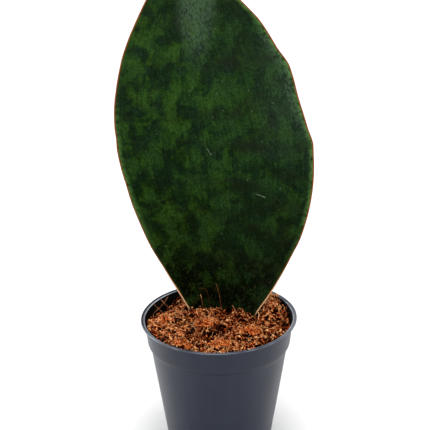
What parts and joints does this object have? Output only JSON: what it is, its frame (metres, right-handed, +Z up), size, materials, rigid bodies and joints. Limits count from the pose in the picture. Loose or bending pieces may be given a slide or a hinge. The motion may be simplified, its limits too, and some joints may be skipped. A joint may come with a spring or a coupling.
{
  "type": "potted snake plant",
  "caption": "Snake plant with one broad upright leaf, rooted in coconut coir in a tapered round nursery pot with a stacking collar, a flat lip and drain holes.",
  "frame": {"origin": "centre of the pot's flat base, on the surface that it stands on", "axes": "+Z up along the pot's axis, -Y towards the side that the hollow face of the leaf looks to, +X to that viewer's right"},
  "size_m": [0.1512, 0.12, 0.374],
  "materials": {
    "pot_plastic": "satin dark slate-grey moulded polypropylene",
    "coir": "rough orange-brown coconut coir",
    "leaf_skin": "leathery dark green skin with paler mottling and a thin orange margin",
    "rhizome_skin": "dull ringed orange-tan rhizome skin",
    "root_skin": "pale fleshy root skin",
    "coir_lump": "crumbly tan coir pith and fibre",
    "coir_strand": "dry coir strand with a slight sheen"
  },
  "bodies": {
    "root": {"nursery_pot": "pot_plastic", "coir_bed": "coir", "leaf": "leaf_skin", "rhizome": "rhizome_skin", "root_1": "root_skin", "root_2": "root_skin", "root_3": "root_skin", "root_4": "root_skin", "root_5": "root_skin", "root_6": "root_skin", "root_7": "root_skin", "root_8": "root_skin", "coir_clump_1": "coir_lump", "coir_clump_2": "coir_lump", "coir_clump_3": "coir_lump", "coir_clump_4": "coir_lump", "coir_clump_5": "coir_lump", "coir_clump_6": "coir_lump", "coir_fibre_1": "coir_strand", "coir_fibre_2": "coir_strand", "coir_fibre_3": "coir_strand", "coir_fibre_4": "coir_strand", "coir_fibre_5": "coir_strand", "coir_fibre_6": "coir_strand", "coir_fibre_7": "coir_strand", "coir_fibre_8": "coir_strand", "coir_fibre_9": "coir_strand", "coir_fibre_10": "coir_strand", "coir_fibre_11": "coir_strand"}
  },
  "joints": []
}
